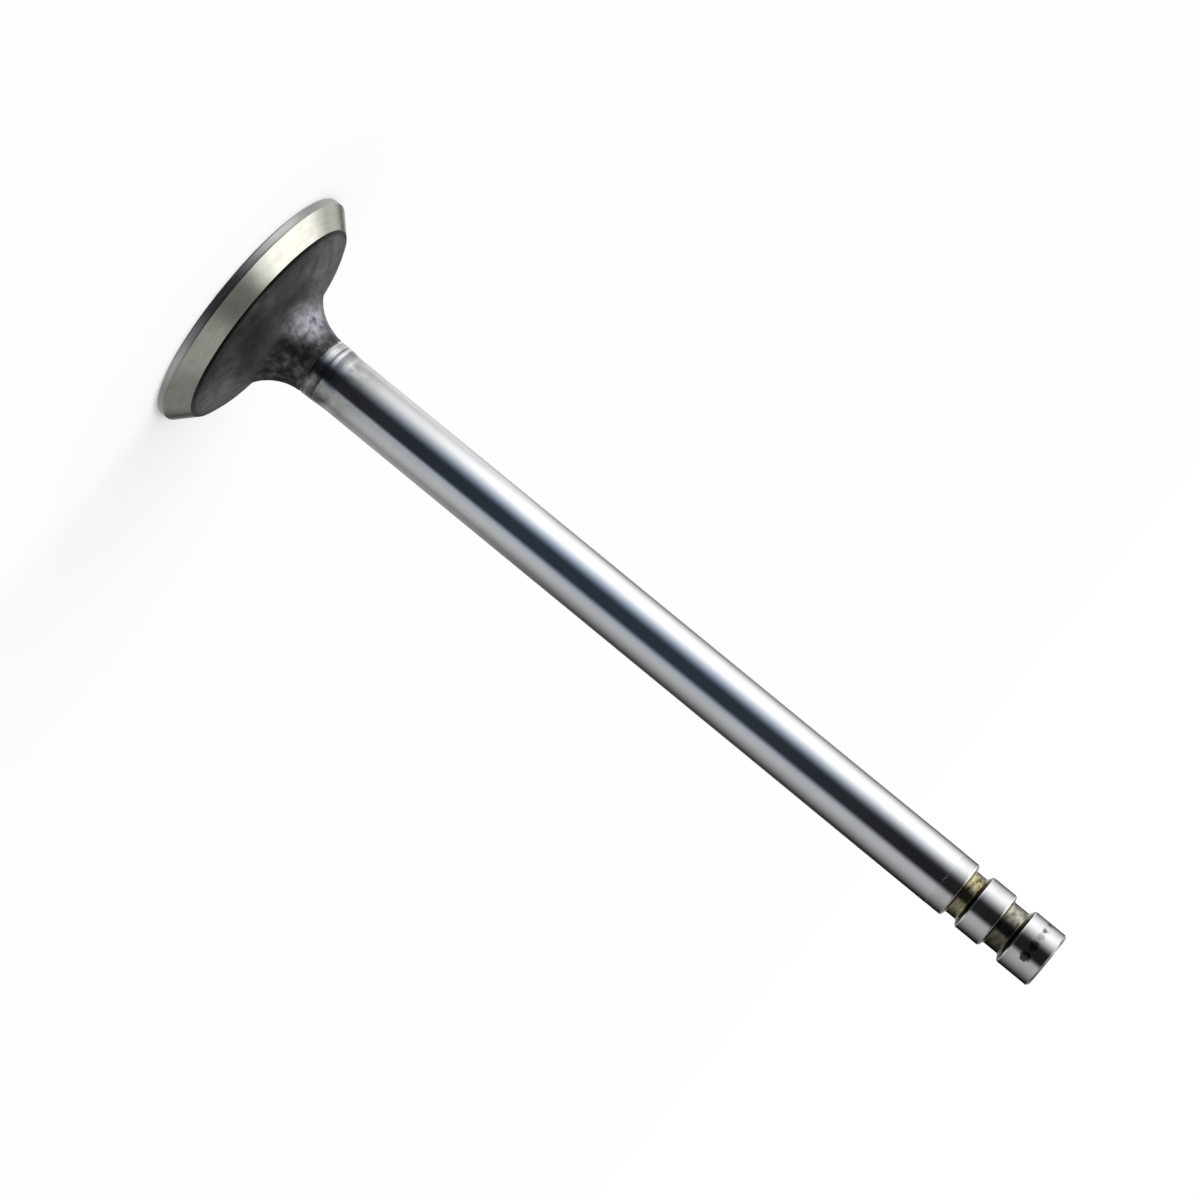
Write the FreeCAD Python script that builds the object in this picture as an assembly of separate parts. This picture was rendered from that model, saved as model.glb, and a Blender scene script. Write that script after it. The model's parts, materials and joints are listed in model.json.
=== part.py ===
# Poppet valve of a combustion engine: a mushroom head on a long round stem, forged and
# turned in one piece of steel, with two keeper grooves near the tip of the stem.
# Frame: millimetres. The origin is the centre of the flat combustion face, and +Z runs
# along the stem to the tip, so the valve stands on its head.

import FreeCAD, Part
import math
import os

# Overall sizes
overall_length = 132.0
head_diameter = 35.5
stem_diameter = 8.0

# Head: the combustion face, its broken edge, the cylindrical margin and the ground seat face
face_edge_break = 0.15
margin_height = 1.2
seat_angle = 45.0
seat_width = 3.4

# Underside of the head: a short rounded shoulder beside the seat, a shallow cone, and the
# large neck fillet that carries the gas flow round into the stem. Angles are measured from
# the plane of the head.
shoulder_angle = 24.0
shoulder_width = 1.5
shoulder_radius = 6.0
underside_angle = 14.5
neck_radius = 7.7

# The forged neck tapers slightly to its end, where it is a little thicker than the stem. A
# short cone then runs out into the ground stem.
neck_taper_angle = 1.0
neck_end_diameter = 8.3
neck_end_height = 14.2
run_out_length = 1.8

# Keeper end, with lengths measured back from the tip. The last stretch of the stem is
# ground a little under size, so that the valve goes into its guide from below.
tip_length = 5.0
tip_diameter = 8.0
tip_chamfer = 0.3
upper_groove_width = 2.95
land_length = 3.8
land_diameter = 7.9
lower_groove_width = 2.25
lead_length = 2.4
lead_diameter = 7.96

# Section of both grooves: a floor between two sloping walls, the steeper one on the head's
# side, with rounded roots and rounded edges
groove_floor_diameter = 6.4
groove_head_side_slope = 0.2
groove_tip_side_slope = 0.45
groove_root_radius = 0.22
groove_edge_radius = 0.4


def corner(radius, height, rounding=0.0):
    """A corner of the half section: distance from the axis, height, rounding radius."""
    return (FreeCAD.Vector(radius, 0, height), rounding)


def half_angle(before, point, after):
    """Half of the angle that the outline makes at a corner."""
    return (before - point).getAngle(after - point) / 2.0


def rounding_arc(before, point, after, setback):
    """The tangent arc that starts and ends one setback away from a corner."""
    to_before = (before - point).normalize()
    to_after = (after - point).normalize()
    bisector = (to_before + to_after).normalize()
    angle = half_angle(before, point, after)
    nearest = setback / math.cos(angle) - setback * math.tan(angle)
    start = point + to_before * setback
    end = point + to_after * setback
    return start, point + bisector * nearest, end


def section_face(corners):
    """The closed half section as a face, with a tangent arc at each rounded corner."""
    corners = [
        (point, radius)
        for (point, radius), (previous, _) in zip(corners, corners[-1:] + corners[:-1])
        if point.distanceToPoint(previous) > 1e-6
    ]
    count = len(corners)
    points = [point for point, _ in corners]
    following = points[1:] + points[:1]
    preceding = points[-1:] + points[:-1]
    setbacks = [
        radius / math.tan(half_angle(before, point, after)) if radius > 0 else 0.0
        for (point, radius), before, after in zip(corners, preceding, following)
    ]
    # Where two roundings need more than the line between them, both shrink to share it
    shrink = [1.0] * count
    for index in range(count):
        neighbour = (index + 1) % count
        wanted = setbacks[index] + setbacks[neighbour]
        length = points[index].distanceToPoint(points[neighbour])
        if wanted > length:
            shrink[index] = min(shrink[index], length / wanted)
            shrink[neighbour] = min(shrink[neighbour], length / wanted)

    arcs = [
        rounding_arc(before, point, after, setback * factor) if setback > 1e-6 else (point,) * 3
        for before, point, after, setback, factor in zip(preceding, points, following, setbacks, shrink)
    ]
    edges = []
    for (start, middle, end), next_arc in zip(arcs, arcs[1:] + arcs[:1]):
        if start.distanceToPoint(end) > 1e-6:
            edges.append(Part.Arc(start, middle, end).toShape())
        if end.distanceToPoint(next_arc[0]) > 1e-6:
            edges.append(Part.makeLine(end, next_arc[0]))
    return Part.Face(Part.Wire(edges))


def head_corners():
    """Combustion face, margin, seat face and the underside as far as the neck fillet."""
    head_radius = head_diameter / 2.0
    seat_slope = math.radians(seat_angle)
    seat_top_radius = head_radius - seat_width * math.cos(seat_slope)
    seat_top_height = margin_height + seat_width * math.sin(seat_slope)
    shoulder_slope = math.radians(shoulder_angle)
    shoulder_end_radius = seat_top_radius - shoulder_width * math.cos(shoulder_slope)
    shoulder_end_height = seat_top_height + shoulder_width * math.sin(shoulder_slope)
    return [
        corner(head_radius - face_edge_break, 0.0),
        corner(head_radius, face_edge_break),
        corner(head_radius, margin_height),
        corner(seat_top_radius, seat_top_height),
        corner(shoulder_end_radius, shoulder_end_height, shoulder_radius),
        neck_corner(shoulder_end_radius, shoulder_end_height),
    ]


def neck_corner(cone_radius, cone_height):
    """Where the cone under the head would meet the tapered neck, rounded by the fillet."""
    cone_rise = math.tan(math.radians(underside_angle))
    taper = math.tan(math.radians(neck_taper_angle))
    end_radius = neck_end_diameter / 2.0
    # On the cone: height = cone_height + (cone_radius - r) * cone_rise
    # On the neck: r = end_radius + (neck_end_height - height) * taper
    height = cone_height + (cone_radius - end_radius - neck_end_height * taper) * cone_rise
    height /= 1.0 - taper * cone_rise
    radius = end_radius + (neck_end_height - height) * taper
    return corner(radius, height, neck_radius)


def groove_corners(start_height, width, radius_before, radius_after):
    """One keeper groove, from the edge on the head's side to the edge on the tip's side."""
    floor_radius = groove_floor_diameter / 2.0
    end_height = start_height + width
    return [
        corner(radius_before, start_height, groove_edge_radius),
        corner(floor_radius, start_height + groove_head_side_slope, groove_root_radius),
        corner(floor_radius, end_height - groove_tip_side_slope, groove_root_radius),
        corner(radius_after, end_height, groove_edge_radius),
    ]


def stem_corners():
    """End of the neck, stem, ground lead, lower groove, land, upper groove and tip."""
    upper_groove_end = overall_length - tip_length
    upper_groove_start = upper_groove_end - upper_groove_width
    lower_groove_end = upper_groove_start - land_length
    lower_groove_start = lower_groove_end - lower_groove_width
    lead_start = lower_groove_start - lead_length
    stem_radius = stem_diameter / 2.0
    lead_radius = lead_diameter / 2.0
    land_radius = land_diameter / 2.0
    tip_radius = tip_diameter / 2.0
    # The ground lead begins with a short 45 degree step
    lead_step = abs(stem_radius - lead_radius)
    return [
        corner(neck_end_diameter / 2.0, neck_end_height),
        corner(stem_radius, neck_end_height + run_out_length),
        corner(stem_radius, lead_start - lead_step),
        corner(lead_radius, lead_start),
        *groove_corners(lower_groove_start, lower_groove_width, lead_radius, land_radius),
        *groove_corners(upper_groove_start, upper_groove_width, land_radius, tip_radius),
        corner(tip_radius, overall_length - tip_chamfer),
        corner(tip_radius - tip_chamfer, overall_length),
    ]


def engine_valve():
    """The half section from the axis, round the outside and back, turned about the axis."""
    on_axis_below = corner(0.0, 0.0)
    on_axis_above = corner(0.0, overall_length)
    section = section_face([on_axis_below, *head_corners(), *stem_corners(), on_axis_above])
    return section.revolve(FreeCAD.Vector(0, 0, 0), FreeCAD.Vector(0, 0, 1), 360)


os.makedirs("parts", exist_ok=True)
engine_valve().exportStep("parts/engine_valve.step")
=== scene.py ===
import json
import math

import bpy
from mathutils import Matrix, Vector


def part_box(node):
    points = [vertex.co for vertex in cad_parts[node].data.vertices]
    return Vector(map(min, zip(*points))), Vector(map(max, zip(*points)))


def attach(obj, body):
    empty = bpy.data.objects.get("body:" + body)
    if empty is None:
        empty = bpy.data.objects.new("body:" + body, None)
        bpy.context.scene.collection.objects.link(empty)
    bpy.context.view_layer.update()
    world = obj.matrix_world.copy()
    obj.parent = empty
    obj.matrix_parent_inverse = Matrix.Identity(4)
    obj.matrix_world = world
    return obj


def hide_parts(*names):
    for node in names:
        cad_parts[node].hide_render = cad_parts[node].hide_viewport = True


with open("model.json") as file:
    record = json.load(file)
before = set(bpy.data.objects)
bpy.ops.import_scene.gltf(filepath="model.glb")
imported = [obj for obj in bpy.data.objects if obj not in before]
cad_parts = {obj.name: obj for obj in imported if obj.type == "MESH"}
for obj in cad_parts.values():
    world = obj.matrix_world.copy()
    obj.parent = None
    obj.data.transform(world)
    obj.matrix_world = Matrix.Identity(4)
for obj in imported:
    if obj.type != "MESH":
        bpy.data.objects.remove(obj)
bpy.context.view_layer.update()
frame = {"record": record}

MM = 0.001
NODE = "engine_valve"
cad_low, cad_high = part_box(NODE)

# The half section is drawn zone by zone, from the middle of the face round the outside to
# the tip. A zone is its material, its outline points and how deep its skin is pitted.
zones = []


# Combustion face
# The flat end of the head, bare valve steel faced on a lathe. The tool leaves fine rings
# about the axis, and the edge is broken with a small chamfer.
HEAD_RADIUS = min(-cad_low.x, -cad_low.y, cad_high.x, cad_high.y)
FACE_EDGE_BREAK = 0.15 * MM
FEED = 0.25 * MM


def linear(hex_colour):
    """An sRGB hex colour as linear red, green, blue and alpha."""
    parts = [int(hex_colour[i:i + 2], 16) / 255 for i in (1, 3, 5)]
    return (*[c / 12.92 if c <= 0.04045 else ((c + 0.055) / 1.055) ** 2.4 for c in parts], 1.0)


def add(tree, kind, inputs=None, stops=(), **settings):
    """Adds a node. Inputs are values or sockets to link, settings are its own properties,
    and stops are the places and colours of a colour ramp, as hex or as a grey level."""
    made = tree.nodes.new(kind)
    for name, value in settings.items():
        setattr(made, name, value)
    for key, value in (inputs or {}).items():
        if isinstance(value, bpy.types.NodeSocket):
            tree.links.new(value, made.inputs[key])
        else:
            made.inputs[key].default_value = value
    for number, (position, colour) in enumerate(stops):
        elements = made.color_ramp.elements
        element = elements[number] if number < 2 else elements.new(position)
        element.position = position
        element.color = linear(colour) if isinstance(colour, str) else (colour, colour, colour, 1)
    return made


def bare_steel(name, **sockets):
    """A bare metal: its material, its tree, its shader and the object's coordinates. The
    marks of its making run round the axis, and gloss spreads across them."""
    material = bpy.data.materials.new(name)
    material.use_nodes = True
    tree = material.node_tree
    shader = tree.nodes["Principled BSDF"]
    for socket, value in {"Metallic": 1.0, "Anisotropic Rotation": 0.25, **sockets}.items():
        shader.inputs[socket].default_value = value
    round_the_axis = add(tree, "ShaderNodeTangent", direction_type="RADIAL", axis="Z")
    tree.links.new(round_the_axis.outputs["Tangent"], shader.inputs["Tangent"])
    place = add(tree, "ShaderNodeTexCoord").outputs["Object"]
    return material, tree, shader, place


def marks(tree, place, across, along, detail=3.0):
    """Uneven marks in the steel, so long across the axis and so long along it."""
    stretched = add(tree, "ShaderNodeMapping", {
        "Vector": place,
        "Scale": (1 / across, 1 / across, 1 / along),
    })
    return add(tree, "ShaderNodeTexNoise", {
        "Vector": stretched.outputs["Vector"],
        "Scale": 1.0,
        "Detail": detail,
    }).outputs["Fac"]


def off_axis(tree, place):
    """How far a place lies from the valve's axis."""
    flat = add(tree, "ShaderNodeVectorMath", {0: place, 1: (1, 1, 0)}, operation="MULTIPLY")
    distance = add(tree, "ShaderNodeVectorMath", {0: flat.outputs[0]}, operation="LENGTH")
    return distance.outputs["Value"]


def finish(tree, shader, colour, roughness, bump, depth):
    """Gives a steel its colour, its roughness and a bump of some depth in metres."""
    tree.links.new(colour, shader.inputs["Base Color"])
    tree.links.new(roughness, shader.inputs["Roughness"])
    raised = add(tree, "ShaderNodeBump", {"Height": bump, "Strength": 1.0, "Distance": depth})
    tree.links.new(raised.outputs["Normal"], shader.inputs["Normal"])


# Faced steel: a grey metal that shines in rings, one for each turn of the tool's feed
faced_steel, tree, shader, place = bare_steel("faced_steel", Anisotropic=0.4)
feed_count = add(tree, "ShaderNodeMath", {
    0: off_axis(tree, place),
    1: 1 / FEED,
}, operation="MULTIPLY").outputs[0]
rings = add(tree, "ShaderNodeTexNoise", {
    "W": feed_count,
    "Scale": 1.0,
}, noise_dimensions="1D").outputs["Fac"]
stain = marks(tree, place, 6 * MM, 6 * MM)
finish(
    tree, shader,
    colour=add(tree, "ShaderNodeValToRGB", {0: stain}, [
        (0.3, "#a3a29c"), (0.7, "#c2c1bb"),
    ]).outputs[0],
    roughness=add(tree, "ShaderNodeValToRGB", {0: rings}, [(0.3, 0.24), (0.7, 0.4)]).outputs[0],
    bump=rings,
    depth=0.005 * MM,
)

zones.append((faced_steel, [
    (0.0, 0.0, False),
    (0.5 * (HEAD_RADIUS - FACE_EDGE_BREAK), 0.0, False),
    (HEAD_RADIUS - FACE_EDGE_BREAK, 0.0, True),
], 0.0))


# Margin
# The rim of the head, turned but not ground. Beside the seat face a thin dull line of burr
# runs round it.
MARGIN_HEIGHT = 1.2 * MM
BURR_WIDTH = 0.25 * MM
BURR_FADE = 0.1 * MM
# Where along X the painted shade on the side of -X starts, and where it is full
MARGIN_SHADE_FROM = -9 * MM
MARGIN_SHADE_FULL = -14 * MM

# Turned steel: duller and greyer than the ground seat next to it, with painted shade on the
# side of -X
turned_rim, tree, shader, place = bare_steel("turned_rim_steel", Anisotropic=0.4)
split = add(tree, "ShaderNodeSeparateXYZ", {"Vector": place})
cloud = marks(tree, place, 3 * MM, 0.5 * MM)
# Painted shade: the rim is darkened on the side of -X
margin_side_shade = add(tree, "ShaderNodeMapRange", {
    "Value": split.outputs["X"],
    "From Min": MARGIN_SHADE_FROM,
    "From Max": MARGIN_SHADE_FULL,
}).outputs[0]
burr = add(tree, "ShaderNodeMapRange", {
    "Value": split.outputs["Z"],
    "From Min": MARGIN_HEIGHT - BURR_WIDTH - BURR_FADE,
    "From Max": MARGIN_HEIGHT - BURR_WIDTH + BURR_FADE,
}).outputs[0]
finish(
    tree, shader,
    colour=add(tree, "ShaderNodeMix", {
        0: burr,
        6: add(tree, "ShaderNodeMix", {
            0: margin_side_shade,
            6: add(tree, "ShaderNodeValToRGB", {0: cloud}, [
                (0.3, "#b3b2ae"), (0.7, "#c9c8c6"),
            ]).outputs[0],
            7: linear("#c8c8c6"),
        }, data_type="RGBA", blend_type="MULTIPLY").outputs[2],
        7: linear("#9b9a95"),
    }, data_type="RGBA").outputs[2],
    roughness=add(tree, "ShaderNodeValToRGB", {0: cloud}, [(0.3, 0.26), (0.7, 0.36)]).outputs[0],
    bump=cloud,
    depth=0.01 * MM,
)

zones.append((turned_rim, [
    (HEAD_RADIUS - FACE_EDGE_BREAK, 0.0, True),
    (HEAD_RADIUS, FACE_EDGE_BREAK, True),
    (HEAD_RADIUS, MARGIN_HEIGHT, True),
], 0.0))


# Seat face
# The 45 degree cone that closes against the seat ring in the cylinder head, ground by a
# wheel that runs round it.
SEAT_ANGLE = math.radians(45)
SEAT_WIDTH = 3.4 * MM
seat_top = (
    HEAD_RADIUS - SEAT_WIDTH * math.cos(SEAT_ANGLE),
    MARGIN_HEIGHT + SEAT_WIDTH * math.sin(SEAT_ANGLE),
)

# Ground seat alloy: very pale, a little warm, and satin with faint lines round the head
ground_seat, tree, shader, place = bare_steel("ground_seat_steel", Anisotropic=0.35)
# The wheel's lines are a few hundredths apart, and drawn 0.25 mm apart to show
lines = marks(tree, place, 9 * MM, 0.25 * MM, 4.0)
cloud = marks(tree, place, 1.6 * MM, 1.2 * MM)
finish(
    tree, shader,
    colour=add(tree, "ShaderNodeValToRGB", {0: cloud}, [
        (0.3, "#dedacb"), (0.7, "#ebe9df"),
    ]).outputs[0],
    roughness=add(tree, "ShaderNodeValToRGB", {0: lines}, [(0.3, 0.18), (0.7, 0.28)]).outputs[0],
    bump=lines,
    depth=0.002 * MM,
)

zones.append((ground_seat, [
    (HEAD_RADIUS, MARGIN_HEIGHT, True),
    (0.5 * (HEAD_RADIUS + seat_top[0]), 0.5 * (MARGIN_HEIGHT + seat_top[1]), False),
    (*seat_top, True),
], 0.0))


# Forged underside
# Under the head the steel keeps its skin from the forge. It runs from a narrow shoulder
# beside the seat down a shallow dish to the neck, and next to the seat it is painted nearly black
# as shade.
SHOULDER_ANGLE = math.radians(24)
SHOULDER_WIDTH = 1.5 * MM
SHOULDER_RADIUS = 6.0 * MM
UNDERSIDE_ANGLE = math.radians(14.5)
NECK_RADIUS = 7.7 * MM
NECK_TAPER = math.radians(1.0)
NECK_END_RADIUS = 4.15 * MM
NECK_END_HEIGHT = 14.2 * MM
NECK_HEIGHT = 6.5 * MM
RUN_OUT_ROUNDING = 20 * MM
RUN_OUT_EASE = 1.0 * MM
SKIN_STEP = 0.13 * MM
# How far inside the seat face the painted shade starts, and where it is full
CORNER_SHADE_FROM = 0.85 * MM
CORNER_SHADE_FULL = 0.4 * MM
DISH_PITTING = 0.02 * MM
mounts = {mount["name"]: mount for mount in frame["record"]["mounts"]}
STEM_RADIUS = mounts["stem"]["dims"]["r_mm"] * MM
stem_start = mounts["stem"]["pos_m"][2] - mounts["stem"]["dims"]["length_mm"] * MM / 2
stem_end = mounts["stem"]["pos_m"][2] + mounts["stem"]["dims"]["length_mm"] * MM / 2


def rounded(corners, spacing):
    """Points along a half section of straight runs and tangent arcs. A corner is its
    distance from the axis, its height and its rounding radius, 0 for a sharp one."""
    spots = [Vector((c[0], c[1])) for c in corners]
    stops = [(spots[0], True)]
    for before, spot, after, corner in zip(spots, spots[1:], spots[2:], corners[1:]):
        if corner[2] == 0:
            stops.append((spot, True))
            continue
        to_before = (before - spot).normalized()
        to_after = (after - spot).normalized()
        half = to_before.angle(to_after) / 2
        centre = spot + (to_before + to_after).normalized() * (corner[2] / math.sin(half))
        start = spot + to_before * (corner[2] / math.tan(half)) - centre
        end = spot + to_after * (corner[2] / math.tan(half)) - centre
        turn = math.pi - 2 * half
        count = max(3, math.ceil(turn * corner[2] / spacing))
        for i in range(count + 1):
            direction = start * math.sin(turn * (1 - i / count)) + end * math.sin(turn * i / count)
            stops.append((centre + direction.normalized() * corner[2], False))
    stops.append((spots[-1], True))
    points = []
    for (here, sharp), (there, _) in zip(stops, stops[1:]):
        count = max(1, math.ceil((there - here).length / spacing))
        for i in range(count):
            step = here.lerp(there, i / count)
            points.append((step.x, step.y, sharp and i == 0))
    points.append((spots[-1].x, spots[-1].y, True))
    return points


def ring_cut(points, height, width, depth):
    """The outline with a shallow rounded ring cut into it at a height."""
    cut = [points[0]]
    for before, (x, z, sharp), after in zip(points, points[1:], points[2:]):
        inwards = Vector((before[1] - after[1], after[0] - before[0])).normalized()
        share = max(0.0, 1 - ((z - height) / (0.5 * width)) ** 2)
        cut.append((x + inwards.x * depth * share, z + inwards.y * depth * share, sharp))
    return cut + [points[-1]]


def between(points, low, high):
    """The stretch of an outline from one height to another, ends included."""
    return [p for p in points if low <= p[1] <= high]


shoulder_end = (
    seat_top[0] - SHOULDER_WIDTH * math.cos(SHOULDER_ANGLE),
    seat_top[1] + SHOULDER_WIDTH * math.sin(SHOULDER_ANGLE),
)
dish_rise, taper = math.tan(UNDERSIDE_ANGLE), math.tan(NECK_TAPER)
corner_height = shoulder_end[1] + (
    shoulder_end[0] - NECK_END_RADIUS - NECK_END_HEIGHT * taper
) * dish_rise
corner_height /= 1 - taper * dish_rise
neck_corner = (NECK_END_RADIUS + (NECK_END_HEIGHT - corner_height) * taper, corner_height)
underside = rounded([
    (*seat_top, 0),
    (*shoulder_end, SHOULDER_RADIUS),
    (*neck_corner, NECK_RADIUS),
    (NECK_END_RADIUS, NECK_END_HEIGHT, 0),
    (STEM_RADIUS, stem_start, RUN_OUT_ROUNDING),
    (STEM_RADIUS, stem_start + RUN_OUT_EASE, 0),
], SKIN_STEP)

# Forged skin: oxidised steel, dark grey, matt and even, with painted shade next to the seat
forged_skin, tree, shader, place = bare_steel("forged_steel_skin", Metallic=0.85)
# Painted shade: the skin turns nearly black towards the seat
corner_shade = add(tree, "ShaderNodeMapRange", {
    "Value": off_axis(tree, place),
    "From Min": seat_top[0] - CORNER_SHADE_FROM,
    "From Max": seat_top[0] - CORNER_SHADE_FULL,
}).outputs[0]
blotch = marks(tree, place, 1.8 * MM, 1.2 * MM, 5.0)
grit = marks(tree, place, 0.25 * MM, 0.25 * MM, 4.0)
finish(
    tree, shader,
    colour=add(tree, "ShaderNodeMix", {
        0: corner_shade,
        6: add(tree, "ShaderNodeValToRGB", {0: blotch}, [
            (0.3, "#555552"), (0.7, "#797977"),
        ]).outputs[0],
        7: linear("#1f1f1b"),
    }, data_type="RGBA").outputs[2],
    roughness=add(tree, "ShaderNodeValToRGB", {0: blotch}, [(0.3, 0.42), (0.7, 0.3)]).outputs[0],
    bump=grit,
    depth=0.01 * MM,
)

zones.append((forged_skin, between(underside, 0, NECK_HEIGHT), DISH_PITTING))


# Forged neck
# The fillet that carries the gas flow round into the stem, as it left the forging die. Its
# skin grows coarser as it leaves the dish.
TURNED_HEIGHT = 12.3 * MM
NECK_PITTING = 0.12 * MM
SKIN_FADE = 1.3 * MM
# The rubbed patch: how it leans round the neck, its side, its ragged edge and its two ends,
# each from where it ends to where it is full
PATCH_LEAN = 0.45
PATCH_SIDE = -4.6 * MM
PATCH_RAGGEDNESS = 2.0 * MM
PATCH_EDGE = (0.6 * MM, -1.2 * MM)
PATCH_ENDS = ((6.4 * MM, 8.1 * MM), (11.9 * MM, 8.9 * MM))

# Pitted forged steel: dark scale in streaks along the valve, rubbed bright in one patch,
# and plain forged skin next to the dish
forged_neck, tree, shader, place = bare_steel("pitted_forged_steel", Metallic=0.85)
split = add(tree, "ShaderNodeSeparateXYZ", {"Vector": place})
streak = marks(tree, place, 0.7 * MM, 1.8 * MM, 4.0)
# The patch is on the side of -X, and further round the higher it is
patch_edge = add(tree, "ShaderNodeMath", {
    0: split.outputs["Z"],
    1: PATCH_LEAN,
    2: PATCH_SIDE,
}, operation="MULTIPLY_ADD").outputs[0]
patch_edge = add(tree, "ShaderNodeMath", {0: patch_edge, 1: split.outputs["X"]}).outputs[0]
uneven_edge = add(tree, "ShaderNodeMath", {
    0: streak,
    1: PATCH_RAGGEDNESS,
    2: patch_edge,
}, operation="MULTIPLY_ADD").outputs[0]
rubbed = add(tree, "ShaderNodeMapRange", {
    "Value": uneven_edge,
    "From Min": PATCH_EDGE[0],
    "From Max": PATCH_EDGE[1],
}).outputs[0]
for end, full in PATCH_ENDS:
    stretch = add(tree, "ShaderNodeMapRange", {
        "Value": split.outputs["Z"],
        "From Min": end,
        "From Max": full,
    }).outputs[0]
    rubbed = add(tree, "ShaderNodeMath", {0: stretch, 1: rubbed}, operation="MULTIPLY").outputs[0]
skin_share = add(tree, "ShaderNodeMapRange", {
    "Value": split.outputs["Z"],
    "From Min": NECK_HEIGHT + SKIN_FADE,
    "From Max": NECK_HEIGHT,
}).outputs[0]
blotch = marks(tree, place, 1.3 * MM, 1.0 * MM, 5.0)
grit = marks(tree, place, 0.3 * MM, 0.3 * MM, 4.0)
scale = add(tree, "ShaderNodeMix", {0: 0.6, 2: streak, 3: blotch}).outputs[0]
dark_scale = add(tree, "ShaderNodeMix", {
    0: skin_share,
    6: add(tree, "ShaderNodeValToRGB", {0: scale}, [
        (0.36, "#2f2f2c"), (0.5, "#4b4b48"), (0.62, "#787772"),
    ]).outputs[0],
    7: linear("#6a6b69"),
}, data_type="RGBA").outputs[2]
finish(
    tree, shader,
    colour=add(tree, "ShaderNodeMix", {
        0: rubbed,
        6: dark_scale,
        7: add(tree, "ShaderNodeValToRGB", {0: scale}, [
            (0.34, "#484648"), (0.43, "#8a888f"), (0.6, "#b7b5bc"),
        ]).outputs[0],
    }, data_type="RGBA").outputs[2],
    roughness=add(tree, "ShaderNodeValToRGB", {0: scale}, [(0.35, 0.52), (0.65, 0.36)]).outputs[0],
    bump=grit,
    depth=0.012 * MM,
)

zones.append((forged_neck, between(underside, NECK_HEIGHT, TURNED_HEIGHT), NECK_PITTING))


# Turned run-out
# Where the lathe tool met the forged neck: a short band of coarse rings between two
# deeper ones, and then a low cone down to the stem's own diameter.
FIRST_CUT_WIDTH = 0.5 * MM
FIRST_CUT_DEPTH = 0.07 * MM
LAST_CUT_HEIGHT = NECK_END_HEIGHT - 0.1 * MM
LAST_CUT_WIDTH = 0.4 * MM
LAST_CUT_DEPTH = 0.01 * MM
RING_SPACING = 0.45 * MM
# The painted shade in each cut, from where it ends to where it is full, and its ragged edge
FIRST_CUT_SHADE = (TURNED_HEIGHT + 0.3 * MM, TURNED_HEIGHT + 0.05 * MM)
LAST_CUT_SHADE = (NECK_END_HEIGHT - 0.35 * MM, NECK_END_HEIGHT - 0.15 * MM)
CUT_RAGGEDNESS = 1.2 * MM
# Where along X the painted shade on the side of +X starts, and where it is full
RUN_OUT_SHADE_FROM = -1.6 * MM
RUN_OUT_SHADE_FULL = 0.6 * MM
run_out = ring_cut(underside, TURNED_HEIGHT, FIRST_CUT_WIDTH, FIRST_CUT_DEPTH)
run_out = ring_cut(run_out, LAST_CUT_HEIGHT, LAST_CUT_WIDTH, LAST_CUT_DEPTH)

# Turned steel: bright rings, with painted shade where the first cut bottomed out. On the side
# of +X the last cut has painted shade too, and the rings are painted darker as shade.
turned_steel, tree, shader, place = bare_steel("turned_steel")
split = add(tree, "ShaderNodeSeparateXYZ", {"Vector": place})
rings = marks(tree, place, 9 * MM, RING_SPACING)
blotch = marks(tree, place, 1.0 * MM, 0.7 * MM, 4.0)
# Painted shade on the side of +X, which darkens the rings and the last cut
plus_x_shade = add(tree, "ShaderNodeMapRange", {
    "Value": split.outputs["X"],
    "From Min": RUN_OUT_SHADE_FROM,
    "From Max": RUN_OUT_SHADE_FULL,
    "To Max": 0.8,
}).outputs[0]
uneven_height = add(tree, "ShaderNodeMath", {
    0: blotch,
    1: -CUT_RAGGEDNESS,
    2: 0.5 * CUT_RAGGEDNESS,
}, operation="MULTIPLY_ADD").outputs[0]
uneven_height = add(tree, "ShaderNodeMath", {0: uneven_height, 1: split.outputs["Z"]}).outputs[0]
# Painted shade in the two cuts
cut_shade = 0.0
for height, (end, full), strength in (
    (uneven_height, FIRST_CUT_SHADE, 1.0),
    (split.outputs["Z"], LAST_CUT_SHADE, plus_x_shade),
):
    cut = add(tree, "ShaderNodeMapRange", {
        "Value": height,
        "From Min": end,
        "From Max": full,
        "To Max": strength,
    }).outputs[0]
    cut_shade = add(tree, "ShaderNodeMath", {0: cut_shade, 1: cut}, operation="MAXIMUM").outputs[0]
steel = add(tree, "ShaderNodeMix", {
    0: plus_x_shade,
    6: add(tree, "ShaderNodeValToRGB", {0: rings}, [
        (0.35, "#7c7c7b"), (0.6, "#d4d4d5"),
    ]).outputs[0],
    7: add(tree, "ShaderNodeValToRGB", {0: blotch}, [
        (0.35, "#363532"), (0.65, "#7f7e79"),
    ]).outputs[0],
}, data_type="RGBA").outputs[2]
finish(
    tree, shader,
    colour=add(tree, "ShaderNodeMix", {
        0: cut_shade,
        6: steel,
        7: linear("#4a4a48"),
    }, data_type="RGBA").outputs[2],
    roughness=add(tree, "ShaderNodeValToRGB", {0: rings}, [(0.3, 0.24), (0.7, 0.12)]).outputs[0],
    bump=rings,
    depth=0.02 * MM,
)

zones.append((turned_steel, between(run_out, TURNED_HEIGHT, NECK_END_HEIGHT), 0.0))


# Chromed stem
# The running length, centreless ground, hard chromed and polished. Towards the neck the
# plating thins out: it is greyish for the first stretch, and patchy for a shorter one.
GREY_LENGTH = 36 * MM
PATCHY_LENGTH = 7 * MM
STEM_STEP = 8 * MM
# Where the painted glint of bright rings goes on over it: from where it ends to where it is
# full, above the neck and along X
GLINT_LENGTH = (2.2 * MM, 0.8 * MM)
GLINT_SIDE = (-0.4 * MM, -1.8 * MM)
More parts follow.
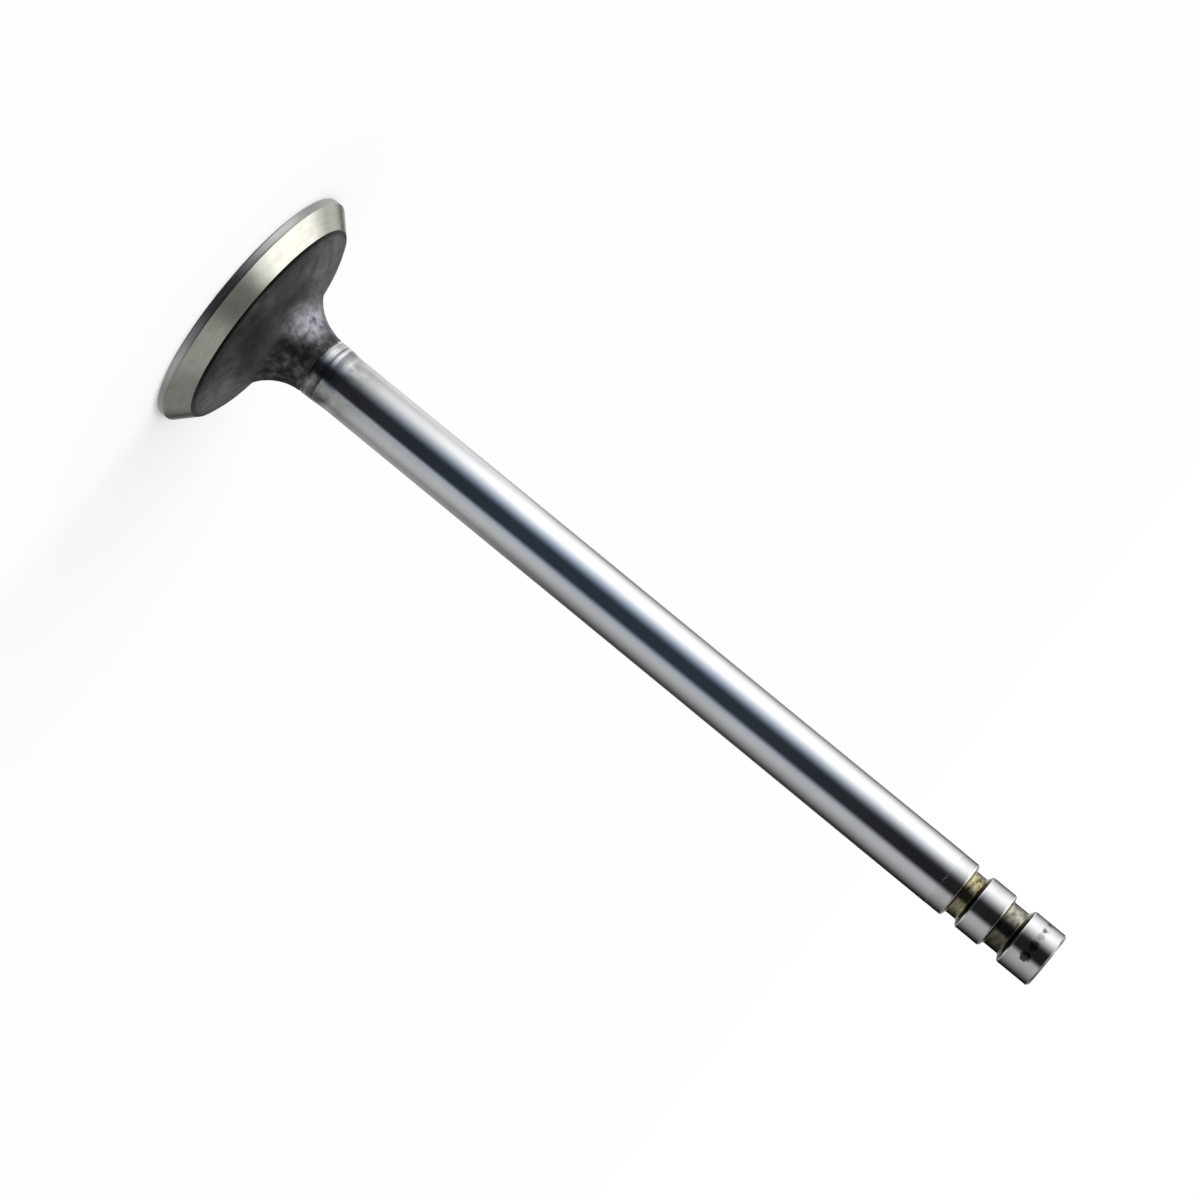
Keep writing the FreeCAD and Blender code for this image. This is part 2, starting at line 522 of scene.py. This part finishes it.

# Hard chrome: a mirror with very fine lines round it, dull, grey and patchy by the neck, with a
# painted glint of bright rings that goes on for a millimetre past the run-out on the side of -X.
# The lines of the polishing are finer than 0.01 mm, and drawn 0.2 mm apart to show.
chrome, tree, shader, place = bare_steel("polished_hard_chrome")
split = add(tree, "ShaderNodeSeparateXYZ", {"Vector": place})
height = split.outputs["Z"]
lines = marks(tree, place, 10 * MM, 0.2 * MM)
rings = marks(tree, place, 9 * MM, RING_SPACING)
cloud = marks(tree, place, 4 * MM, 7 * MM)
patch = marks(tree, place, 1.0 * MM, 1.6 * MM, 5.0)
from_neck = add(tree, "ShaderNodeMapRange", {
    "Value": height,
    "From Min": NECK_END_HEIGHT,
    "From Max": NECK_END_HEIGHT + GREY_LENGTH,
}).outputs[0]
patchy = add(tree, "ShaderNodeMapRange", {
    "Value": height,
    "From Min": NECK_END_HEIGHT,
    "From Max": NECK_END_HEIGHT + PATCHY_LENGTH,
    "To Min": 0.9,
    "To Max": 0.0,
}).outputs[0]
# Painted glint: bright rings on the side of -X, just above the neck
glint_height = add(tree, "ShaderNodeMapRange", {
    "Value": height,
    "From Min": NECK_END_HEIGHT + GLINT_LENGTH[0],
    "From Max": NECK_END_HEIGHT + GLINT_LENGTH[1],
}).outputs[0]
painted_glint = add(tree, "ShaderNodeMapRange", {
    "Value": split.outputs["X"],
    "From Min": GLINT_SIDE[0],
    "From Max": GLINT_SIDE[1],
    "To Max": glint_height,
}).outputs[0]
plating = add(tree, "ShaderNodeMix", {
    0: 1.0,
    6: add(tree, "ShaderNodeValToRGB", {0: from_neck}, [
        (0.05, "#a9aaa8"), (0.2, "#c8c8c7"), (0.45, "#dddddc"), (0.85, "#ffffff"),
    ]).outputs[0],
    7: add(tree, "ShaderNodeValToRGB", {0: cloud}, [(0.3, "#efeff0"), (0.7, "#f6f6f7")]).outputs[0],
}, data_type="RGBA", blend_type="MULTIPLY").outputs[2]
thin_plating = add(tree, "ShaderNodeMix", {
    0: patchy,
    6: plating,
    7: add(tree, "ShaderNodeValToRGB", {0: patch}, [
        (0.36, "#8a8982"), (0.62, "#c6c6c0"),
    ]).outputs[0],
}, data_type="RGBA").outputs[2]
finish(
    tree, shader,
    colour=add(tree, "ShaderNodeMix", {
        0: painted_glint,
        6: thin_plating,
        7: add(tree, "ShaderNodeValToRGB", {0: rings}, [
            (0.35, "#8c8c8e"), (0.55, "#e6e6ea"),
        ]).outputs[0],
    }, data_type="RGBA").outputs[2],
    roughness=add(tree, "ShaderNodeMapRange", {
        "Value": lines, "To Min": 0.04, "To Max": 0.15,
    }).outputs[0],
    bump=lines,
    depth=0.0006 * MM,
)

zones.append((chrome, between(run_out, NECK_END_HEIGHT, stem_start + RUN_OUT_EASE), 0.0))
stem_points = rounded([
    (STEM_RADIUS, stem_start + RUN_OUT_EASE, 0),
    (STEM_RADIUS, stem_end, 0),
], STEM_STEP)
zones.append((chrome, stem_points, 0.0))


# Lead, lands and tip side
# Above the chrome the bar is ground a little under size: the lead below the grooves, the
# land between them and the side of the tip, whose end is hardened.
TIP_HEIGHT = cad_high.z
TIP_LENGTH = 5.0 * MM
TIP_RADIUS = 4.0 * MM
TIP_CHAMFER = 0.3 * MM
UPPER_GROOVE_WIDTH = 2.95 * MM
LAND_LENGTH = 3.8 * MM
LAND_RADIUS = 3.95 * MM
LOWER_GROOVE_WIDTH = 2.25 * MM
LEAD_RADIUS = 3.98 * MM
lead_start = stem_end + STEM_RADIUS - LEAD_RADIUS
upper_groove_end = TIP_HEIGHT - TIP_LENGTH
upper_groove_start = upper_groove_end - UPPER_GROOVE_WIDTH
lower_groove_end = upper_groove_start - LAND_LENGTH
lower_groove_start = lower_groove_end - LOWER_GROOVE_WIDTH
SPOT_HEIGHT = TIP_HEIGHT - 2.6 * MM
SPOT_RAGGEDNESS = 0.8 * MM
SPOT_FADE = 0.15 * MM
# Each heat spot: degrees round the tip, from -Y towards +X, its width in millimetres and how
# dark it is
SPOTS = (
    (-69, 0.8, 0.7), (-44, 0.7, 0.8), (-27, 1.0, 0.4), (-7, 1.3, 0.8), (18, 1.4, 0.95),
    (96, 0.9, 0.5), (128, 1.2, 0.8), (151, 0.8, 0.6), (-164, 1.3, 0.9), (-122, 0.8, 0.7),
)

# Ground steel: as smooth as the chrome, and a little darker, with grinding lines as coarse
# as the chrome's
ground_steel, tree, shader, place = bare_steel("ground_stem_steel")
lines = marks(tree, place, 8 * MM, 0.2 * MM)
cloud = marks(tree, place, 3 * MM, 1.2 * MM)
finish(
    tree, shader,
    colour=add(tree, "ShaderNodeValToRGB", {0: cloud}, [
        (0.3, "#dfdedc"), (0.7, "#ecebe9"),
    ]).outputs[0],
    roughness=add(tree, "ShaderNodeMapRange", {
        "Value": lines, "To Min": 0.06, "To Max": 0.18,
    }).outputs[0],
    bump=lines,
    depth=0.0015 * MM,
)

# Hardened steel: the same, with dark heat spots in a ring
spotted_steel, tree, shader, place = bare_steel("heat_spotted_tip_steel")
lines = marks(tree, place, 8 * MM, 0.2 * MM)
cloud = marks(tree, place, 3 * MM, 1.2 * MM)
uneven = marks(tree, place, 0.5 * MM, 0.5 * MM)
burnt = 0.0
for degrees, width, darkness in SPOTS:
    turn = math.radians(degrees)
    centre = (TIP_RADIUS * math.sin(turn), -TIP_RADIUS * math.cos(turn), SPOT_HEIGHT)
    distance = add(tree, "ShaderNodeVectorMath", {
        0: place, 1: centre,
    }, operation="DISTANCE").outputs["Value"]
    ragged = add(tree, "ShaderNodeMath", {
        0: uneven,
        1: SPOT_RAGGEDNESS,
        2: distance,
    }, operation="MULTIPLY_ADD").outputs[0]
    # Half of the raggedness is added on average, so the edge moves out by as much
    edge = 0.5 * width * MM + 0.5 * SPOT_RAGGEDNESS
    spot = add(tree, "ShaderNodeMapRange", {
        "Value": ragged,
        "From Min": edge + SPOT_FADE,
        "From Max": edge - SPOT_FADE,
        "To Max": darkness,
    }).outputs[0]
    burnt = add(tree, "ShaderNodeMath", {0: burnt, 1: spot}, operation="MAXIMUM").outputs[0]
finish(
    tree, shader,
    colour=add(tree, "ShaderNodeMix", {
        0: burnt,
        6: add(tree, "ShaderNodeValToRGB", {0: cloud}, [
            (0.3, "#dfdedc"), (0.7, "#ecebe9"),
        ]).outputs[0],
        7: linear("#3a3936"),
    }, data_type="RGBA").outputs[2],
    roughness=add(tree, "ShaderNodeMapRange", {
        "Value": lines, "To Min": 0.06, "To Max": 0.18,
    }).outputs[0],
    bump=lines,
    depth=0.0015 * MM,
)


# Keeper grooves
# Two turned grooves hold the beads of the split keepers. They are left as turned, and the
# heat that hardened the tip has tinted them.
GROOVE_FLOOR_RADIUS = 3.2 * MM
HEAD_SIDE_SLOPE = 0.2 * MM
TIP_SIDE_SLOPE = 0.45 * MM
ROOT_ROUNDING = 0.22 * MM
EDGE_ROUNDING = 0.4 * MM
HEAD_SIDE_SPILL = 0.05 * MM
TIP_SIDE_SPILL = 0.02 * MM
KEEPER_STEP = 0.1 * MM
# The painted shade up the wall towards the tip, above the floor's end, and the painted shade
# on the darker side, along X: each from where it starts to where it is full
TIP_WALL_SHADE = (-0.1 * MM, 0.15 * MM)
DARKER_SIDE = (-1.0 * MM, 1.5 * MM)
STRAW_TINTS = ("#4a4126", "#a89d74", "#d8d1b4")
GREY_TINTS = ("#413e36", "#918c7e", "#c4bfb1")


def groove(start, width, radius_before, radius_after):
    """Corners of one keeper groove, from its edge on the head's side to the tip's side."""
    return [
        (radius_before, start, EDGE_ROUNDING),
        (GROOVE_FLOOR_RADIUS, start + HEAD_SIDE_SLOPE, ROOT_ROUNDING),
        (GROOVE_FLOOR_RADIUS, start + width - TIP_SIDE_SLOPE, ROOT_ROUNDING),
        (radius_after, start + width, EDGE_ROUNDING),
    ]


keeper_end = rounded([
    (STEM_RADIUS, stem_end, 0),
    (LEAD_RADIUS, lead_start, 0),
    *groove(lower_groove_start, LOWER_GROOVE_WIDTH, LEAD_RADIUS, LAND_RADIUS),
    *groove(upper_groove_start, UPPER_GROOVE_WIDTH, LAND_RADIUS, TIP_RADIUS),
    (TIP_RADIUS, TIP_HEIGHT - TIP_CHAMFER, 0),
], KEEPER_STEP)

# Heat-tinted steel: straw in the lower groove, greyer in the upper one, painted nearly black
# as shade from the root up the wall towards the tip, and painted darker as shade on the side of +X
tinted = {}
for name, start, width, shade, colours in (
    ("straw_tinted_steel", lower_groove_start, LOWER_GROOVE_WIDTH, 0.35, STRAW_TINTS),
    ("grey_tinted_steel", upper_groove_start, UPPER_GROOVE_WIDTH, 0.7, GREY_TINTS),
):
    tinted[name], tree, shader, place = bare_steel(name)
    split = add(tree, "ShaderNodeSeparateXYZ", {"Vector": place})
    blotch = marks(tree, place, 1.4 * MM, 0.5 * MM, 4.0)
    # Painted shade in the root and up the wall towards the tip, and on the side of +X
    groove_shade = add(tree, "ShaderNodeMapRange", {
        "Value": split.outputs["Z"],
        "From Min": start + width - TIP_SIDE_SLOPE + TIP_WALL_SHADE[0],
        "From Max": start + width - TIP_SIDE_SLOPE + TIP_WALL_SHADE[1],
    }).outputs[0]
    shaded = add(tree, "ShaderNodeMapRange", {
        "Value": split.outputs["X"],
        "From Min": DARKER_SIDE[0],
        "From Max": DARKER_SIDE[1],
        "To Max": shade,
    }).outputs[0]
    groove_shade = add(tree, "ShaderNodeMath", {0: groove_shade, 1: shaded}, operation="MAXIMUM").outputs[0]
    finish(
        tree, shader,
        colour=add(tree, "ShaderNodeMix", {
            0: groove_shade,
            6: add(tree, "ShaderNodeValToRGB", {0: blotch}, [
                (0.3, colours[0]), (0.45, colours[1]), (0.65, colours[2]),
            ]).outputs[0],
            7: linear("#3c3620"),
        }, data_type="RGBA").outputs[2],
        roughness=add(tree, "ShaderNodeValToRGB", {0: blotch}, [
            (0.3, 0.22), (0.7, 0.1),
        ]).outputs[0],
        bump=blotch,
        depth=0.008 * MM,
    )

# The tint spills a little over the edges of its groove
straw_from, straw_to = lower_groove_start - HEAD_SIDE_SPILL, lower_groove_end + TIP_SIDE_SPILL
grey_from, grey_to = upper_groove_start - HEAD_SIDE_SPILL, upper_groove_end + TIP_SIDE_SPILL
for material, low, high in (
    (ground_steel, stem_end, straw_from),
    (tinted["straw_tinted_steel"], straw_from, straw_to),
    (ground_steel, straw_to, grey_from),
    (tinted["grey_tinted_steel"], grey_from, grey_to),
    (spotted_steel, grey_to, TIP_HEIGHT - TIP_CHAMFER),
):
    zones.append((material, between(keeper_end, low, high), 0.0))


# Tip face
# The flat end that the rocker pushes on, hardened and ground, with a small chamfer.
SCRATCH_LENGTH = 3 * MM
SCRATCH_WIDTH = 0.15 * MM

# Ground hardened steel: pale, with straight scratches, which are finer than they are drawn
ground_tip, tree, shader, place = bare_steel("ground_tip_steel")
scratches = add(tree, "ShaderNodeTexNoise", {
    "Vector": add(tree, "ShaderNodeMapping", {
        "Vector": place,
        "Scale": (1 / SCRATCH_LENGTH, 1 / SCRATCH_WIDTH, 1 / SCRATCH_LENGTH),
    }).outputs["Vector"],
    "Scale": 1.0,
    "Detail": 3.0,
}).outputs["Fac"]
finish(
    tree, shader,
    colour=add(tree, "ShaderNodeValToRGB", {0: scratches}, [
        (0.3, "#c4c4c2"), (0.7, "#e6e6e4"),
    ]).outputs[0],
    roughness=add(tree, "ShaderNodeValToRGB", {0: scratches}, [
        (0.3, 0.32), (0.7, 0.22),
    ]).outputs[0],
    bump=scratches,
    depth=0.004 * MM,
)

zones.append((ground_tip, [
    (TIP_RADIUS, TIP_HEIGHT - TIP_CHAMFER, True),
    (TIP_RADIUS - TIP_CHAMFER, TIP_HEIGHT, True),
    (0.5 * TIP_RADIUS, TIP_HEIGHT, False),
    (0.0, TIP_HEIGHT, False),
], 0.0))


# The valve itself
# One forging: the zones are joined to one half section, which is turned about the axis into
# a closed skin. The forged zones then stand in and out a little, as scale and pits do.
STEPS_AROUND = 256
PIT_GRAIN = 0.7 * MM
PIT_SEED = 3.0
PIT_MIDDLE = 0.56
TOUCHING = 1e-7
rows = []
for number, (_, points, depth) in enumerate(zones):
    for x, z, sharp in points:
        if rows and math.dist(rows[-1][:2], (x, z)) < TOUCHING:
            rows[-1] = (x, z, sharp or rows[-1][2], number, 0.5 * min(depth, rows[-1][4]))
        else:
            rows.append((x, z, sharp, number, depth))

outline = bpy.data.meshes.new("half_section")
outline.from_pydata([(row[0], 0, row[1]) for row in rows], [], [])
for name, kind, column in (("corner", "BOOLEAN", 2), ("zone", "INT", 3), ("pitting", "FLOAT", 4)):
    values = outline.attributes.new(name, kind, "POINT").data
    values.foreach_set("value", [row[column] for row in rows])

lathe = bpy.data.node_groups.new("turned_about_the_axis", "GeometryNodeTree")
lathe.is_modifier = True
for name, kind in (
    ("Half section", "NodeSocketGeometry"),
    ("Steps around", "NodeSocketInt"),
    ("Pit grain", "NodeSocketFloat"),
    ("Pit seed", "NodeSocketFloat"),
):
    lathe.interface.new_socket(name, in_out="INPUT", socket_type=kind)
lathe.interface.new_socket("Valve", in_out="OUTPUT", socket_type="NodeSocketGeometry")
given = add(lathe, "NodeGroupInput").outputs
section_size = add(lathe, "GeometryNodeAttributeDomainSize", {0: given["Half section"]})
columns = add(lathe, "ShaderNodeMath", {0: given["Steps around"], 1: 1.0}).outputs[0]
grid = add(lathe, "GeometryNodeMeshGrid", {
    "Vertices X": section_size.outputs["Point Count"],
    "Vertices Y": columns,
})
index = add(lathe, "GeometryNodeInputIndex").outputs[0]


def from_section(value, kind, row):
    """A value of the half section, or its attribute of a name, read at a row of the grid."""
    if isinstance(value, str):
        value = add(lathe, "GeometryNodeInputNamedAttribute", {
            "Name": value,
        }, data_type=kind).outputs[0]
    return add(lathe, "GeometryNodeSampleIndex", {
        "Geometry": given["Half section"],
        "Value": value,
        "Index": row,
    }, data_type=kind, domain="POINT").outputs["Value"]


point_row = add(lathe, "ShaderNodeMath", {
    0: add(lathe, "ShaderNodeMath", {0: index, 1: columns}, operation="DIVIDE").outputs[0],
}, operation="FLOOR").outputs[0]
face_row = add(lathe, "ShaderNodeMath", {
    0: add(lathe, "ShaderNodeMath", {
        0: index, 1: given["Steps around"],
    }, operation="DIVIDE").outputs[0],
}, operation="FLOOR").outputs[0]
column = add(lathe, "ShaderNodeMath", {0: index, 1: columns}, operation="MODULO").outputs[0]
share = add(lathe, "ShaderNodeMath", {
    0: column, 1: given["Steps around"],
}, operation="DIVIDE").outputs[0]
# Turned clockwise, seen from the tip, so that the faces point outwards
angle = add(lathe, "ShaderNodeMath", {0: share, 1: -2 * math.pi}, operation="MULTIPLY").outputs[0]
position = add(lathe, "GeometryNodeInputPosition").outputs[0]
turned = add(lathe, "ShaderNodeVectorRotate", {
    "Vector": from_section(position, "FLOAT_VECTOR", point_row),
    "Angle": angle,
}, rotation_type="Z_AXIS").outputs[0]
skin = add(lathe, "GeometryNodeSetPosition", {
    "Geometry": grid.outputs["Mesh"],
    "Position": turned,
}).outputs[0]
for name, kind, domain, value in (
    ("row", "INT", "POINT", point_row),
    ("corner", "BOOLEAN", "POINT", from_section("corner", "BOOLEAN", point_row)),
    ("pitting", "FLOAT", "POINT", from_section("pitting", "FLOAT", point_row)),
    ("zone", "INT", "FACE", from_section("zone", "INT", face_row)),
):
    skin = add(lathe, "GeometryNodeStoreNamedAttribute", {
        "Geometry": skin,
        "Name": name,
        "Value": value,
    }, data_type=kind, domain=domain).outputs[0]
skin = add(lathe, "GeometryNodeMergeByDistance", {
    "Geometry": skin, "Distance": TOUCHING,
}).outputs[0]

# Pits and lumps go along the surface's own direction. The noise averages 0.5, so a middle
# above that takes a little more in than out.
grain = add(lathe, "ShaderNodeMath", {0: 1.0, 1: given["Pit grain"]}, operation="DIVIDE").outputs[0]
lumps = add(lathe, "ShaderNodeTexNoise", {
    "Vector": add(lathe, "ShaderNodeVectorMath", {
        0: position, "Scale": grain,
    }, operation="SCALE").outputs[0],
    "W": given["Pit seed"],
    "Scale": 1.0,
    "Detail": 3.0,
    "Roughness": 0.6,
}, noise_dimensions="4D").outputs[0]
pitting = add(lathe, "GeometryNodeInputNamedAttribute", {
    "Name": "pitting",
}, data_type="FLOAT").outputs[0]
lump = add(lathe, "ShaderNodeMath", {0: lumps, 1: PIT_MIDDLE}, operation="SUBTRACT").outputs[0]
rise = add(lathe, "ShaderNodeMath", {0: lump, 1: pitting}, operation="MULTIPLY").outputs[0]
skin = add(lathe, "GeometryNodeSetPosition", {
    "Geometry": skin,
    "Offset": add(lathe, "ShaderNodeVectorMath", {
        0: add(lathe, "GeometryNodeInputNormal").outputs[0],
        "Scale": rise,
    }, operation="SCALE").outputs[0],
}).outputs[0]

# Edges that run round the valve at a corner of the half section stay sharp
ends = add(lathe, "GeometryNodeInputMeshEdgeVertices").outputs


def at_end(name, kind, which):
    """A point's attribute at one end of each edge."""
    value = add(lathe, "GeometryNodeInputNamedAttribute", {"Name": name}, data_type=kind).outputs[0]
    return add(lathe, "GeometryNodeFieldAtIndex", {
        "Value": value,
        "Index": ends[which],
    }, data_type=kind, domain="POINT").outputs[0]


round_the_valve = add(lathe, "FunctionNodeCompare", {
    2: at_end("row", "INT", "Vertex Index 1"),
    3: at_end("row", "INT", "Vertex Index 2"),
}, data_type="INT", operation="EQUAL").outputs[0]
sharp_edge = add(lathe, "FunctionNodeBooleanMath", {
    0: round_the_valve,
    1: at_end("corner", "BOOLEAN", "Vertex Index 1"),
}, operation="AND").outputs[0]
skin = add(lathe, "GeometryNodeSetShadeSmooth", {"Geometry": skin}).outputs[0]
skin = add(lathe, "GeometryNodeStoreNamedAttribute", {
    "Geometry": skin,
    "Name": "sharp_edge",
    "Value": sharp_edge,
}, data_type="BOOLEAN", domain="EDGE").outputs[0]
skin = add(lathe, "GeometryNodeRealizeInstances", {"Geometry": skin}).outputs[0]
zone = add(lathe, "GeometryNodeInputNamedAttribute", {"Name": "zone"}, data_type="INT").outputs[0]
for number, (material, _, _) in enumerate(zones):
    in_zone = add(lathe, "FunctionNodeCompare", {
        2: zone, 3: number,
    }, data_type="INT", operation="EQUAL")
    skin = add(lathe, "GeometryNodeSetMaterial", {
        "Geometry": skin,
        "Selection": in_zone.outputs[0],
        "Material": material,
    }).outputs[0]
add(lathe, "NodeGroupOutput", {0: skin})

blank = bpy.data.objects.new("half_section", outline)
bpy.context.scene.collection.objects.link(blank)
turning = blank.modifiers.new("turning", "NODES")
turning.node_group = lathe
sockets = {item.name: item.identifier for item in lathe.interface.items_tree}
turning[sockets["Steps around"]] = STEPS_AROUND
turning[sockets["Pit grain"]] = PIT_GRAIN
turning[sockets["Pit seed"]] = PIT_SEED
evaluated = blank.evaluated_get(bpy.context.evaluated_depsgraph_get())
mesh = bpy.data.meshes.new_from_object(evaluated)
mesh.name = "valve"
for name in ("row", "corner", "pitting", "zone"):
    if name in mesh.attributes:
        mesh.attributes.remove(mesh.attributes[name])
bpy.data.objects.remove(blank)
valve = bpy.data.objects.new("valve", mesh)
bpy.context.scene.collection.objects.link(valve)
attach(valve, "root")
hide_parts(NODE)


# Floor
# A pale studio floor just under the valve. It is lit as any floor is, so it keeps the
# valve's shadow, and is lifted to white for the camera alone.
FLOOR_SIZE = 6.0
FLOOR_GAP = 0.02 * MM
FLOOR_LIFT = 0.2
floor_mesh = bpy.data.meshes.new("floor")
floor_mesh.from_pydata([
    (x * FLOOR_SIZE, y * FLOOR_SIZE, -FLOOR_GAP) for x, y in ((-1, -1), (1, -1), (1, 1), (-1, 1))
], [], [(0, 1, 2, 3)])
floor = bpy.data.objects.new("floor", floor_mesh)
bpy.context.scene.collection.objects.link(floor)
floor.visible_glossy = False
pale = bpy.data.materials.new("pale_floor")
pale.use_nodes = True
tree = pale.node_tree
tree.nodes.clear()
rays = add(tree, "ShaderNodeLightPath").outputs
matt = add(tree, "ShaderNodeBsdfDiffuse", {"Color": linear("#f2f2f2")})
lift = add(tree, "ShaderNodeEmission", {
    "Strength": add(tree, "ShaderNodeMath", {
        0: rays["Is Camera Ray"],
        1: FLOOR_LIFT,
    }, operation="MULTIPLY").outputs[0],
})
both = add(tree, "ShaderNodeAddShader", {0: matt.outputs[0], 1: lift.outputs[0]})
add(tree, "ShaderNodeOutputMaterial", {"Surface": both.outputs[0]})
floor_mesh.materials.append(pale)


# Studio
# A room of soft light round the valve, which its polished steel shows as long bands. A
# white screen stands on the -X side and a grey wall on the +X side. It is dark towards the
# camera and dim behind and overhead. Whatever is matt is lit by plain white instead.
world = bpy.data.worlds.new("studio")
bpy.context.scene.world = world
world.use_nodes = True
tree = world.node_tree
tree.nodes.clear()
rays = add(tree, "ShaderNodeLightPath").outputs
toward = add(tree, "ShaderNodeSeparateXYZ", {
    "Vector": add(tree, "ShaderNodeTexCoord").outputs["Generated"],
})
# Degrees: the bearing is 0 towards the camera and grows towards +X, the elevation is 0 level
bearing = add(tree, "ShaderNodeMath", {
    0: add(tree, "ShaderNodeMath", {
        0: toward.outputs["X"],
        1: add(tree, "ShaderNodeMath", {
            0: toward.outputs["Y"], 1: -1.0,
        }, operation="MULTIPLY").outputs[0],
    }, operation="ARCTAN2").outputs[0],
}, operation="DEGREES").outputs[0]
away = add(tree, "ShaderNodeMath", {0: bearing}, operation="ABSOLUTE").outputs[0]
elevation = add(tree, "ShaderNodeMath", {
    0: add(tree, "ShaderNodeMath", {0: toward.outputs["Z"]}, operation="ARCSINE").outputs[0],
}, operation="DEGREES").outputs[0]

PLAIN_LIGHT = 0.55
SUN_STRENGTH = 1.4
SUN_SOFTNESS = math.radians(50)
SUN_TILT = (math.radians(20), math.radians(-35), 0)
# A light is its brightness and its edges, each from where it ends to where it is full
FOOT = (elevation, -58, -42)
LEVEL_FOOT = (elevation, -10.5, -8)
LEVEL_TOP = (elevation, 26, 5)
HIGH_FOOT = (elevation, 5, 26)
LOW_FOOT = (elevation, -11, -5)
LOW_TOP = (elevation, 1, -3)
BACK_FOOT = (elevation, 2, 14)
BACK_TOP = (elevation, 41, 30)
lights = {
    "dark room": (0.012, []),
    "glow of the floor": (0.034, [(elevation, 0, -4)]),
    "white screen": (1.3, [(bearing, -172, -76), (bearing, -8, -80), FOOT, (elevation, 1.5, -3)]),
    "screen above the level": (1.3, [
        (bearing, -172, -76), (bearing, -16, -84), (elevation, -3, 1.5), LEVEL_TOP,
    ]),
    "top of the screen": (1.4, [
        (bearing, -136, -124), (bearing, -20, -80), HIGH_FOOT, (elevation, 82, 62),
    ]),
    "foot of the wall": (0.68, [
        (bearing, 28, 42), (bearing, 150, 80), (elevation, -12.8, -11.8), (elevation, -8, -10.5),
    ]),
    "floor by the wall": (0.68, [
        (bearing, 52, 74), (bearing, 150, 80), FOOT, (elevation, -11.8, -12.8),
    ]),
    "grey wall": (0.44, [(bearing, 24, 48), (bearing, 146, 54), LEVEL_FOOT, LEVEL_TOP]),
    "top of the wall": (0.34, [
        (bearing, 25, 75), (bearing, 150, 100), HIGH_FOOT, (elevation, 84, 66),
    ]),
    "pale floor behind": (0.45, [(away, 105, 145), FOOT, (elevation, -6, -11)]),
    "floor behind the screen": (0.38, [(bearing, -105, -140), FOOT, (elevation, -7, -11)]),
    "low behind the screen": (0.5, [(bearing, -150, -168), LOW_FOOT, LOW_TOP]),
    "low behind the wall": (0.2, [(bearing, 150, 168), LOW_FOOT, LOW_TOP]),
    "behind the screen": (0.47, [(bearing, -120, -136), BACK_FOOT, BACK_TOP]),
    "behind the wall": (0.2, [(bearing, 110, 150), BACK_FOOT, BACK_TOP]),
    "far behind": (0.3, [(bearing, 158, 172), BACK_FOOT, (elevation, 30, 20)]),
    "dim skylight": (0.125, [(elevation, 60, 77)]),
    "lamp overhead": (0.5, [(elevation, 82, 88)]),
}
room = 0.0
for brightness, edges in lights.values():
    light = brightness
    for angle, end, full in edges:
        edge = add(tree, "ShaderNodeMapRange", {
            "Value": angle,
            "From Min": end,
            "From Max": full,
        }, interpolation_type="SMOOTHSTEP").outputs[0]
        light = add(tree, "ShaderNodeMath", {0: edge, 1: light}, operation="MULTIPLY").outputs[0]
    room = add(tree, "ShaderNodeMath", {0: room, 1: light}).outputs[0]
# The room is a little blue towards the camera, just below the level
cool = 1.0
for angle, end, full in ((away, 64, 20), (elevation, 1, -4), (elevation, -13, -9)):
    edge = add(tree, "ShaderNodeMapRange", {
        "Value": angle, "From Min": end, "From Max": full,
    }).outputs[0]
    cool = add(tree, "ShaderNodeMath", {0: edge, 1: cool}, operation="MULTIPLY").outputs[0]
tint = add(tree, "ShaderNodeMix", {
    0: cool, 6: linear("#fbfdff"), 7: linear("#c4ddff"),
}, data_type="RGBA")
studio = add(tree, "ShaderNodeBackground", {"Color": tint.outputs[2], "Strength": room})
plain = add(tree, "ShaderNodeBackground", {"Color": linear("#ffffff"), "Strength": PLAIN_LIGHT})
white = add(tree, "ShaderNodeBackground", {"Color": linear("#ffffff"), "Strength": 1.0})
seen = add(tree, "ShaderNodeMixShader", {
    0: rays["Is Glossy Ray"], 1: plain.outputs[0], 2: studio.outputs[0],
})
shown = add(tree, "ShaderNodeMixShader", {
    0: rays["Is Camera Ray"], 1: seen.outputs[0], 2: white.outputs[0],
})
add(tree, "ShaderNodeOutputWorld", {"Surface": shown.outputs[0]})

sun_data = bpy.data.lights.new("soft_sun", "SUN")
sun_data.energy = SUN_STRENGTH
sun_data.angle = SUN_SOFTNESS
sun = bpy.data.objects.new("soft_sun", sun_data)
sun.rotation_euler = SUN_TILT
sun.visible_glossy = False
bpy.context.scene.collection.objects.link(sun)


# Camera
# It stands half a metre from the stem, nearly as high as the keeper grooves, and is rolled so
# that the stem runs down to the right, 39 degrees below the level.
PICTURE = 1200
FOCAL_PIXELS = 4000
PIXELS_PER_MM = 7.852
SENSOR = 36.0
VIEW_ELEVATION = math.radians(6.384)
STEM_SLOPE = math.radians(39.355)
AIM_HEIGHT = 59.48 * MM
AIM_SIDESTEP = 0.49 * MM
camera_data = bpy.data.cameras.new("camera")
camera_data.sensor_width = SENSOR
camera_data.lens = SENSOR * FOCAL_PIXELS / PICTURE
camera_data.clip_start = 0.01
camera_data.clip_end = 50.0
camera = bpy.data.objects.new("camera", camera_data)
bpy.context.scene.collection.objects.link(camera)
back = Vector((0, -math.cos(VIEW_ELEVATION), math.sin(VIEW_ELEVATION)))
stand = Vector((AIM_SIDESTEP, 0, AIM_HEIGHT)) + back * (FOCAL_PIXELS / PIXELS_PER_MM * MM)
level = Matrix.Rotation(math.pi / 2 - VIEW_ELEVATION, 4, "X")
roll = Matrix.Rotation(math.pi / 2 + STEM_SLOPE, 4, "Z")
camera.matrix_world = Matrix.Translation(stand) @ level @ roll
bpy.context.scene.camera = camera
bpy.context.scene.view_settings.view_transform = "Standard"
